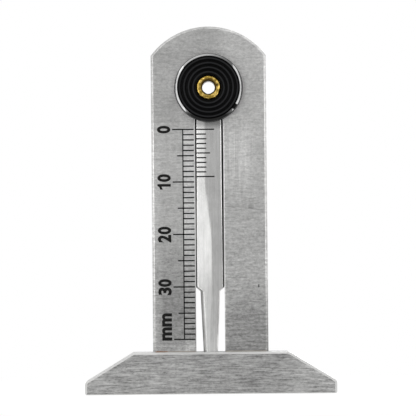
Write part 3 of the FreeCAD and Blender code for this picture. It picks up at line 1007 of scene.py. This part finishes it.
def build_dents():
    tree, given = geometry_tree("dents", {**{name: "Float" for name in DENT_FLOATS}, "Material": "Material"})
    shape = given["Geometry"]
    here = shape.make("GeometryNodeInputPosition")
    x, y, z = here.parts()
    noise_inputs = {"Vector": here, "W": given["Seed"], "Scale": 1 / given["Spot"], "Detail": 1.0}
    noise = shape.make("ShaderNodeTexNoise", {"noise_dimensions": "4D"}, noise_inputs)
    on_roll = (given["Behind"] - y).rises(0.0, 0.1 * MM)
    push = (noise - 0.5) * given["Depth"] * on_roll
    normal = shape.make("GeometryNodeInputNormal")
    along = shape.make("ShaderNodeVectorMath", {"operation": "SCALE"}, {0: normal, "Scale": push})
    dented = shape.make("GeometryNodeSetPosition", inputs={"Geometry": shape, "Offset": along})
    split_x = (x - given["Split X"]) / (given["Split Length"] / 2)
    split_z = (z - given["Split Z"]) / (given["Split Width"] / 2)
    nearness = (1 - (split_x * split_x + split_z * split_z)).rises(0.0, 1.0)
    sink = shape.joined(y=nearness * on_roll * given["Split Depth"])
    split = shape.make("GeometryNodeSetPosition", inputs={"Geometry": dented, "Offset": sink})
    end_tree(split, given["Material"])
    return tree


DENTS = build_dents()
print("the dents tree has", len(DENTS.nodes), "nodes")

# %% Turn and dent the eyelet
EYELET_WALL = 0.30 * MM
ROLL_RADIUS = 0.28 * MM
EYELET_BORE = 1.20 * MM
CLINCH_REACH = 0.65 * MM

barrel_radius = EYELET_BORE + EYELET_WALL
roll_centre = (barrel_radius + ROLL_RADIUS, flange_seat)
roll_outer = ROLL_RADIUS + EYELET_WALL
clinch_radius = barrel_radius + CLINCH_REACH
clinch_face = washer_high.y
clinch_round = EYELET_WALL / 2

eyelet_profile = arc(roll_centre, roll_outer, 180, 360, 28)
eyelet_profile += arc(roll_centre, ROLL_RADIUS, 360, 180, 10)
eyelet_profile += [(barrel_radius, clinch_face)]
clinch_end = (clinch_radius - clinch_round, clinch_face + clinch_round)
eyelet_profile += arc(clinch_end, clinch_round, -90, 90, 6)
eyelet_profile += arc((barrel_radius, clinch_face), EYELET_WALL, 90, 180, 6)
eyelet_points = []
for point in eyelet_profile:
    if not eyelet_points or math.dist(point, eyelet_points[-1]) > SAME_SPOT:
        eyelet_points.append(point)

eyelet = turn_piece("rolled_eyelet", eyelet_points, EYELET_BRASS, steps=160)
dent_values = {
    "Spot": 0.60 * MM, "Depth": 0.22 * MM, "Behind": flange_seat, "Seed": 3.0,
    "Split X": SPLIT_PLACE[0] * MM, "Split Z": SPLIT_PLACE[1] * MM,
    "Split Length": 0.80 * MM, "Split Width": 0.40 * MM, "Split Depth": 0.16 * MM,
}
run_tree(eyelet, DENTS, {**dent_values, "Material": EYELET_BRASS})
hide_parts("brass_eyelet")
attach(eyelet, "slider")

# %% [markdown]
# ## The rear disc and the washer
# The back of the slide is a plain moulded disc with a pocket for the spring washer, and the clinched
# end of the eyelet lies on a thin washer in a shallow seat. The same lathe turns both. Each corner of
# their profiles that can be seen is rounded by a short arc, because a moulding has no sharp edge.

# %% Turn the rear pieces
DISC_BEVEL = 0.40 * MM
WASHER_SEAT_RADIUS = 3.05 * MM
POCKET_RADIUS = 4.75 * MM
WASHER_BORE = 1.55 * MM
WASHER_ROUND = 0.08 * MM

disc_radius = (disc_high.x - disc_low.x) / 2
disc_inner = plate_back + DISC_GAP
disc_profile = [(BARREL_HOLE, disc_low.y), (BARREL_HOLE, washer_low.y), (WASHER_SEAT_RADIUS, washer_low.y)]
seat_edge = (WASHER_SEAT_RADIUS + SMALL_ROUND, disc_high.y - SMALL_ROUND)
disc_profile += arc(seat_edge, SMALL_ROUND, 180, 90, 4)
disc_profile += arc((disc_radius - DISC_BEVEL, disc_high.y - DISC_BEVEL), DISC_BEVEL, 90, 0, 8)
disc_profile += arc((disc_radius - SMALL_ROUND, disc_inner + SMALL_ROUND), SMALL_ROUND, 0, -90, 4)
disc_profile += [(POCKET_RADIUS, disc_inner), (POCKET_RADIUS, spring_back)]
disc_profile += [(BOSS_RADIUS, spring_back), (BOSS_RADIUS, disc_low.y)]
rear_disc = turn_piece("moulded_rear_disc", disc_profile, DISC_PLASTIC)
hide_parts("rear_disc")
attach(rear_disc, "slider")

washer_radius = (washer_high.x - washer_low.x) / 2
washer_profile = [(WASHER_BORE, washer_high.y), (WASHER_BORE, washer_low.y), (washer_radius, washer_low.y)]
washer_edge = (washer_radius - WASHER_ROUND, washer_high.y - WASHER_ROUND)
washer_profile += arc(washer_edge, WASHER_ROUND, 0, 90, 4)
washer = turn_piece("round_washer", washer_profile, WASHER_STEEL, steps=96)
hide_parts("clinch_washer")
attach(washer, "slider")

# %% [markdown]
# ## The probe blade
# The blade is one strip of steel: square at the back, with sides that lean in and end in a bevel,
# and a front that is ground into a very low roof, so one side of it catches the light and the other
# doesn't. The ridge stands right of the middle at the shoulder and swings to the left on its way up
# to the vernier. Under the shoulder the strip tapers, its flanks lean in further, and the roof grows
# flatter and softer towards the tip. Cutting that out of a block leaves hard creases, so it is lofted
# instead: one rule gives the section at any height, and the skin between the sections is smooth
# where the grinding is. Side -1 is the left and side 1 the right.

# %% The blade's sizes
LEANS = {-1: 0.20 * MM, 1: 0.34 * MM}
BEVELS = {-1: 0.45 * MM, 1: 0.17 * MM}
BEVEL_HEIGHTS = {-1: 0.30 * MM, 1: 0.11 * MM}
LEAN_HEIGHT = 0.35 * MM
SHOULDER_DROP = 0.8 * MM
ROOT_HALF = 1.875 * MM
TIP_HALF = 1.025 * MM
FLANKS = {-1: 0.75 * MM, 1: 0.30 * MM}
FLANK_DEPTHS = {-1: 0.64 * MM, 1: 0.65 * MM}
RIDGE_LOW_X = 0.55 * MM
RIDGE_HIGH_X = -0.30 * MM
RIDGE_LOW_Z = 28.5 * MM
RIDGE_HIGH_Z = 41.5 * MM
LEFT_SLOPE = math.tan(math.radians(5.95))
RIGHT_SLOPE = math.tan(math.radians(2.7))
TOP_LEFT_SLOPE = math.tan(math.radians(5.2))
TIP_LEFT_SLOPE = math.tan(math.radians(3.0))
TIP_RIGHT_SLOPE = math.tan(math.radians(0.8))
TIP_FLAT_Z = 14.0 * MM
RIDGE_SOFTNESS = 0.30 * MM
TOP_SOFTNESS = 0.70 * MM
SOFTENING_DROP = 6.0 * MM
TOP_HALF = 0.05 * MM
EDGE_ROUND = 0.05 * MM
FRONT_SAMPLES = 44
CORNER_HALVINGS = 20
SECTION_STEP = 0.7 * MM

blade_half = (blade_high.x - blade_low.x) / 2
blade_front = blade_low.y
blade_back = blade_high.y
bevel_feet = {side: blade_front + height for side, height in BEVEL_HEIGHTS.items()}
lean_foot = bevel_feet[-1] + LEAN_HEIGHT
root_z = SHOULDER_Z - SHOULDER_DROP
print("the blade is", round(2 * blade_half / MM, 2), "mm wide, its root is at", round(root_z / MM, 2), "mm")

# %% The rule for its sections


def blend_values(first, second, share):
    """A value between two, which a share under 0 or over 1 doesn't leave."""
    share = min(max(share, 0.0), 1.0)
    return first + (second - first) * share


def half_width(z):
    """Half the blade's width at its back."""
    if z < root_z:
        return blend_values(TIP_HALF, ROOT_HALF, z / root_z)
    above_axis = max(z - slide_axis.z, 0.0)
    round_half = math.sqrt(max(blade_half**2 - above_axis**2, TOP_HALF**2))
    return min(blend_values(ROOT_HALF, blade_half, (z - root_z) / SHOULDER_DROP), round_half)


def lean_start(side, z):
    """The depth at which the side face begins to lean in."""
    return blend_values(blade_front + FLANK_DEPTHS[side], lean_foot, (z - root_z) / SHOULDER_DROP)


def insets(side, z):
    """How far the bevel's foot and the front edge lie inside the back edge, on one side."""
    lean_share = 1 - BEVEL_HEIGHTS[side] / FLANK_DEPTHS[side]
    above_root = (z - root_z) / SHOULDER_DROP
    foot = blend_values(FLANKS[side] * lean_share, LEANS[side], above_root)
    front = blend_values(FLANKS[side], LEANS[side] + BEVELS[side], above_root)
    size = min(half_width(z) / blade_half, 1.0) if z > slide_axis.z else 1.0
    return foot * size, front * size


def climb(z, low, high):
    """0 below one height, 1 above another, and smooth between."""
    return smooth((z - low) / (high - low))


def roof_depth(x, z):
    """The depth of the ground front: it falls away on both sides of a soft ridge, which swings left."""
    risen = climb(z, RIDGE_LOW_Z, RIDGE_HIGH_Z)
    beyond = x - blend_values(RIDGE_LOW_X, RIDGE_HIGH_X, risen)
    left_slope = blend_values(LEFT_SLOPE, TOP_LEFT_SLOPE, risen)
    left_slope = blend_values(TIP_LEFT_SLOPE, left_slope, climb(z, TIP_FLAT_Z, RIDGE_LOW_Z))
    right_slope = blend_values(TIP_RIGHT_SLOPE, RIGHT_SLOPE, climb(z, TIP_FLAT_Z, root_z))
    slope = left_slope if beyond < 0 else right_slope * (1 - risen)
    beyond = abs(beyond)
    softer = max(risen, climb(z, root_z, root_z - SOFTENING_DROP))
    soft = blend_values(RIDGE_SOFTNESS, TOP_SOFTNESS, softer)
    eased = beyond * beyond / (2 * soft) if beyond < soft else beyond - soft / 2
    return blade_front + slope * eased


def front_corner(side, z):
    """Where the bevel or flank of one side meets the ground front, found by halving."""
    foot, front = insets(side, z)
    half = half_width(z)
    bevel_foot = bevel_feet[side]
    low, high = 0.0, 1.0
    for _ in range(CORNER_HALVINGS):
        middle = (low + high) / 2
        x = side * (half - blend_values(foot, front, middle))
        if bevel_foot + (blade_front - bevel_foot) * middle > roof_depth(x, z):
            low = middle
        else:
            high = middle
    x = side * (half - blend_values(foot, front, low))
    return x, roof_depth(x, z)


def stepped(corner, neighbour):
    """A point one edge round from a corner towards its neighbour, but short of half-way."""
    step = Vector(neighbour) - Vector(corner)
    return Vector(corner) + step * min(EDGE_ROUND / max(step.length, 1e-9), 0.45)


def rounded(before, corner, after):
    """Three points that round a corner over, between its two neighbours."""
    first, last = stepped(corner, before), stepped(corner, after)
    middle = (first + last) / 4 + Vector(corner) / 2
    return [tuple(first), tuple(middle), tuple(last)]


def blade_section(z):
    """The outline of the blade at a height, as points in X and Y from the back left round the front."""
    half = half_width(z)
    corners = {}
    for side in (-1, 1):
        foot, _ = insets(side, z)
        corners[side] = [
            (side * half, blade_back),
            (side * half, lean_start(side, z)),
            (side * (half - foot), bevel_feet[side]),
            front_corner(side, z),
        ]
    left, right = corners[-1], corners[1]
    outline = left + right[::-1]
    points = []
    for i in range(4):
        points += rounded(outline[i - 1], outline[i], outline[i + 1])
    start_x, end_x = points[-1][0], right[3][0] - EDGE_ROUND
    for sample in range(1, FRONT_SAMPLES):
        x = blend_values(start_x, end_x, sample / FRONT_SAMPLES)
        points.append((x, roof_depth(x, z)))
    for i in range(4, 8):
        points += rounded(outline[i - 1], outline[i], outline[(i + 1) % 8])
    return points


def blade_levels():
    """Heights of the sections: close together at the tip, the shoulder and the round top."""
    levels = [0.0, EDGE_ROUND]
    levels += [z * MM for z in range(1, 20) if z * MM < root_z - 0.2 * MM]
    levels += [root_z + SHOULDER_DROP * step / 8 for step in range(-2, 11)]
    first = levels[-1]
    count = int((slide_axis.z - first) / SECTION_STEP)
    levels += [first + (slide_axis.z - first) * step / count for step in range(1, count + 1)]
    levels += [slide_axis.z + blade_half * math.sin(math.radians(angle)) for angle in range(6, 90, 6)]
    return levels + [blade_high.z]


print(len(blade_levels()), "sections of", len(blade_section(root_z)), "points")

# %% Loft the blade
DRILL_LENGTH = 20 * MM


def loft_blade():
    """The skin over the sections, closed at both ends; the lowest section is shrunk to round the tip."""
    work = bmesh.new()
    rows = []
    for z in blade_levels():
        section = blade_section(z)
        if z == 0.0:
            narrower, thinner = 1 - EDGE_ROUND / TIP_HALF, 1 - EDGE_ROUND / blade_back
            section = [(x * narrower, y * thinner) for x, y in section]
        rows.append([work.verts.new((x, y, z)) for x, y in section])
    for lower, upper in zip(rows, rows[1:]):
        for i in range(len(lower)):
            work.faces.new([lower[i - 1], lower[i], upper[i], upper[i - 1]])
    work.faces.new(rows[0])
    work.faces.new(rows[-1])
    bmesh.ops.recalc_face_normals(work, faces=work.faces)
    mesh = bpy.data.meshes.new("ground_blade")
    work.to_mesh(mesh)
    work.free()
    return new_piece("ground_blade", mesh, BLADE_STEEL)


def drill(piece, radius):
    """A hole through a piece, along the slide's axis."""
    work = bmesh.new()
    size = {"radius1": radius, "radius2": radius, "depth": DRILL_LENGTH}
    bmesh.ops.create_cone(work, cap_ends=True, segments=96, **size)
    turn = Matrix.Rotation(math.radians(90), 4, "X")
    work.transform(Matrix.Translation((0, 0, slide_axis.z)) @ turn)
    mesh = bpy.data.meshes.new("drill")
    work.to_mesh(mesh)
    work.free()
    cutter = new_piece("drill", mesh)
    cut = piece.modifiers.new("hole", "BOOLEAN")
    cut.operation = "DIFFERENCE"
    cut.solver = "EXACT"
    cut.object = cutter
    settle(piece)
    bpy.data.objects.remove(cutter)


blade = loft_blade()
drill(blade, BARREL_HOLE)
weigh_normals(blade)
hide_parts("probe_blade")
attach(blade, "slider")
print("blade of", len(blade.data.polygons), "faces")

# %% [markdown]
# ## The two scales
# A scale is a rule in the plainest sense: marks at one pitch, every fifth one longer, every tenth
# one longer still. The vernier is the same rule with ten divisions on nine millimetres, and it bends
# back over the crease of the blade's bevel. One tree makes both, with each length a little uneven, as
# hand-filled paint is. Array modifiers could not change the length of single marks, and a tree can,
# by the mark's number. The main scale brings its long line as the tree's own geometry.

# %% The marks tree
MARK_UNEVENNESS = 0.03 * MM
MARK_BEND_POINTS = 25
MARK_FLOATS = (
    "Top", "Pitch", "Start X", "Direction", "Short", "Five", "Ten", "Width", "Thickness", "Face Y",
    "Ridge X", "Ridge Slope", "Crease X", "Crease Slope",
)


def build_marks():
    sizes = {**{name: "Float" for name in MARK_FLOATS}, "Count": "Int", "Seed": "Int", "Material": "Material"}
    tree, given = geometry_tree("marks", sizes)
    start = given["Geometry"]
    number = start.make("GeometryNodeInputIndex")
    chance = {2: -1.0, 3: 1.0, 8: given["Seed"]}
    wobble = start.make("FunctionNodeRandomValue", {"data_type": "FLOAT"}, chance, 1)

    def every(step):
        """1 for each mark whose number the step divides."""
        return start.maths("LESS_THAN", start.maths("MODULO", number + 0.5, step), 1.0)

    length = given["Short"] + (given["Five"] - given["Short"]) * every(5.0)
    length = length + (given["Ten"] - given["Five"]) * every(10.0) + wobble * MARK_UNEVENNESS
    x = given["Start X"] + given["Direction"] * length * 0.5
    y = given["Face Y"] - given["Thickness"] * 0.5
    z = given["Top"] - number * given["Pitch"]
    counted = {"Count": given["Count"], "Position": start.joined(x, y, z)}
    points = start.make("GeometryNodePoints", inputs=counted)
    block = {"Size": (1, 1, 1), "Vertices X": MARK_BEND_POINTS, "Vertices Y": 2, "Vertices Z": 2}
    cube = start.make("GeometryNodeMeshCube", inputs=block)
    scale = start.joined(length, given["Thickness"], given["Width"])
    blocks = {"Points": points, "Instance": cube, "Scale": scale}
    laid = start.make("GeometryNodeInstanceOnPoints", inputs=blocks)
    join = start.make("GeometryNodeJoinGeometry", inputs={0: [laid, start]})
    real = start.make("GeometryNodeRealizeInstances", inputs={0: join})
    (across,) = start.make("GeometryNodeInputPosition").parts("X")
    past_ridge = (given["Ridge X"] - across).at_least(0.0) * given["Ridge Slope"]
    past_crease = (given["Crease X"] - across).at_least(0.0) * given["Crease Slope"]
    back = start.joined(y=past_ridge + past_crease)
    bent = start.make("GeometryNodeSetPosition", inputs={"Geometry": real, "Offset": back})
    end_tree(bent, given["Material"])
    return tree


MARKS = build_marks()
print("the marks tree has", len(MARKS.nodes), "nodes")

# %% Lay the main scale
MARK_WIDTH = 0.20 * MM
PAINT_SPREAD = 0.05 * MM
MARK_THICKNESS = 0.03 * MM
MAIN_PITCH = 1.0 * MM
SCALE_LINE_X = -5.0 * MM
FIVE_REACH = 1.0 * MM
TEN_REACH = 1.9 * MM

zero_z = marks_high.z - MARK_WIDTH / 2
main_count = round((marks_high.z - marks_low.z - MARK_WIDTH) / MAIN_PITCH) + 1


def box_mesh(name, low, high):
    """A block between two corners."""
    work = bmesh.new()
    bmesh.ops.create_cube(work, size=1.0)
    size = Vector(high) - Vector(low)
    middle = (Vector(high) + Vector(low)) / 2
    work.transform(Matrix.Translation(middle) @ Matrix.Diagonal((*size, 1)))
    mesh = bpy.data.meshes.new(name)
    work.to_mesh(mesh)
    work.free()
    return mesh


line_low = (SCALE_LINE_X - MARK_WIDTH / 2, plate_front - MARK_THICKNESS, marks_low.z)
line_high = (SCALE_LINE_X + MARK_WIDTH / 2, plate_front, marks_high.z)
main_marks = new_piece("main_scale_lines", box_mesh("main_scale_lines", line_low, line_high))
shared = {"Width": MARK_WIDTH + PAINT_SPREAD, "Thickness": MARK_THICKNESS, "Material": MARK_PAINT}
short = marks_high.x - SCALE_LINE_X + MARK_WIDTH / 2
main_sizes = {
    "Count": main_count, "Top": zero_z, "Pitch": MAIN_PITCH, "Start X": marks_high.x, "Direction": -1.0,
    "Short": short, "Five": short + FIVE_REACH, "Ten": short + TEN_REACH, "Face Y": plate_front, "Seed": 4,
}
run_tree(main_marks, MARKS, {**shared, **main_sizes})
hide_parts("main_scale_marks")
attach(main_marks, "gauge_frame")
print(main_count, "main marks")

# %% Lay the vernier
MARK_SINK = 0.03 * MM
VERNIER_PITCH = 0.9 * MM
VERNIER_COUNT = 11
VERNIER_SHORT = 1.85 * MM
VERNIER_FIVE = 2.60 * MM
VERNIER_TEN = 3.40 * MM

bevel_slope = BEVEL_HEIGHTS[-1] / BEVELS[-1]
bevel_start = blade_half - LEANS[-1] - BEVELS[-1]
roof_start = RIDGE_HIGH_X - TOP_SOFTNESS / 2
vernier_crease = -(bevel_slope * bevel_start + TOP_LEFT_SLOPE * roof_start) / (bevel_slope - TOP_LEFT_SLOPE)
vernier_marks = new_piece("vernier_lines", bpy.data.meshes.new("vernier_lines"))
vernier_sizes = {
    "Count": VERNIER_COUNT, "Top": zero_z, "Pitch": VERNIER_PITCH, "Start X": vernier_left, "Direction": 1.0,
    "Short": VERNIER_SHORT, "Five": VERNIER_FIVE, "Ten": VERNIER_TEN, "Face Y": blade_front + MARK_SINK,
    "Ridge X": roof_start, "Ridge Slope": TOP_LEFT_SLOPE,
    "Crease X": vernier_crease, "Crease Slope": bevel_slope - TOP_LEFT_SLOPE, "Seed": 9,
}
run_tree(vernier_marks, MARKS, {**shared, **vernier_sizes, "Thickness": MARK_THICKNESS + MARK_SINK})
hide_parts("vernier_marks")
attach(vernier_marks, "slider")
print(VERNIER_COUNT, "vernier marks")

# %% [markdown]
# ## The figures
# The figures stand beside every tenth mark and are read from the foot upwards, so they lie on their
# side. Text is made a mesh first and only then laid on the plate: each figure is fitted to the
# height and the span that it has on the plate, and turned so that its top looks left. The built-in
# face draws its one with a foot, which the real one lacks, so the one is drawn from eight points.

# %% Make flat letters
STROKE_GAIN = 0.042
FLAGGED_ONE = ((0.30, 0), (0.57, 0), (0.57, 1), (0.36, 1), (0.24, 0.86), (0, 0.79), (0, 0.60), (0.30, 0.69))
LETTER_SAME_SPOT = 1e-5


def letter_mesh(words):
    """Letters of the built-in face as a flat mesh."""
    curve = bpy.data.curves.new("letters", "FONT")
    curve.body = words
    curve.offset = STROKE_GAIN
    curve.resolution_u = 6
    curve.fill_mode = "FRONT"
    holder = new_piece("letters", curve)
    graph = bpy.context.evaluated_depsgraph_get()
    mesh = bpy.data.meshes.new_from_object(holder.evaluated_get(graph), depsgraph=graph)
    bpy.data.objects.remove(holder)
    work = bmesh.new()
    work.from_mesh(mesh)
    bmesh.ops.remove_doubles(work, verts=work.verts, dist=LETTER_SAME_SPOT)
    return work


def flagged_one():
    """A figure one with a flag and no foot."""
    work = bmesh.new()
    work.faces.new([work.verts.new((x, y, 0)) for x, y in FLAGGED_ONE])
    return work


def fit(work, low_x, width, height):
    """Fits a flat mesh into a box that starts at low_x on the base line."""
    low = Vector([min(v.co[axis] for v in work.verts) for axis in range(3)])
    high = Vector([max(v.co[axis] for v in work.verts) for axis in range(3)])
    scale = Matrix.Diagonal((width / (high.x - low.x), height / (high.y - low.y), 1, 1))
    work.transform(Matrix.Translation((low_x, 0, 0)) @ scale @ Matrix.Translation(-low))


print("letters are drawn flat, with strokes widened by", STROKE_GAIN)

# %% Lay the figures
FIGURE_BASE_X = -7.35 * MM
FIGURE_HEIGHT = 2.55 * MM
FIGURES = ("0", "10", "20", "30")
FIGURE_STEP = 10
DIGIT_WIDTH = 1.46 * MM
DIGIT_GAP = 0.10 * MM
ONE_WIDTH = 1.05 * MM
ONE_INSET = 0.10 * MM
UNIT_HEIGHT = 1.90 * MM
UNIT_SPAN = 5.2 * MM
UNIT_MIDDLE_Z = 12.8 * MM


def lay_paint(name, parts, middle_z, span):
    """Lifts flat letters to a thin plate of paint and lays them on the plate, their tops to the left."""
    work = bmesh.new()
    for part in parts:
        flat = bpy.data.meshes.new("flat")
        part.to_mesh(flat)
        part.free()
        work.from_mesh(flat)
    upright = Matrix(((0, -1, 0), (0, 0, -1), (1, 0, 0))).to_4x4()
    place = Vector((FIGURE_BASE_X, plate_front, middle_z - span / 2))
    work.transform(Matrix.Translation(place) @ upright)
    front = bmesh.ops.extrude_face_region(work, geom=work.faces[:])
    lifted = [item for item in front["geom"] if isinstance(item, bmesh.types.BMVert)]
    bmesh.ops.translate(work, verts=lifted, vec=(0, -MARK_THICKNESS, 0))
    bmesh.ops.recalc_face_normals(work, faces=work.faces)
    mesh = bpy.data.meshes.new(name)
    work.to_mesh(mesh)
    work.free()
    piece = new_piece(name, mesh, MARK_PAINT)
    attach(piece, "gauge_frame")


for i, words in enumerate(FIGURES):
    span = len(words) * (DIGIT_WIDTH + DIGIT_GAP) - DIGIT_GAP
    parts = []
    for place_in_row, digit in enumerate(words):
        is_one = digit == "1"
        part = flagged_one() if is_one else letter_mesh(digit)
        low_x = place_in_row * (DIGIT_WIDTH + DIGIT_GAP) + (ONE_INSET if is_one else 0)
        fit(part, low_x, ONE_WIDTH if is_one else DIGIT_WIDTH, FIGURE_HEIGHT)
        parts.append(part)
    lay_paint("figure_" + words, parts, zero_z - FIGURE_STEP * i * MAIN_PITCH, span)

unit = letter_mesh("mm")
fit(unit, 0, UNIT_SPAN, UNIT_HEIGHT)
lay_paint("unit_mm", [unit], UNIT_MIDDLE_Z, UNIT_SPAN)
print(len(FIGURES), "figures and the unit")

# %% [markdown]
# ## The pieces that keep the frame's mesh
# The brazing lies in the corner between the plate and the cheeks, and the spring washer is hidden
# between the rear disc and the plate. They could be modelled again like the rest, but at their size
# nobody would see it. Their meshes are right as they are, so they only get their metal.

# %% Dress the frame's own meshes
for node, material in (
    ("braze_seam_front", BRAZE_METAL),
    ("braze_seam_rear", BRAZE_METAL),
    ("friction_spring", SPRING_STEEL),
):
    nodes[node].data.materials.clear()
    nodes[node].data.materials.append(material)
    print(node, "is dressed in", material.name)
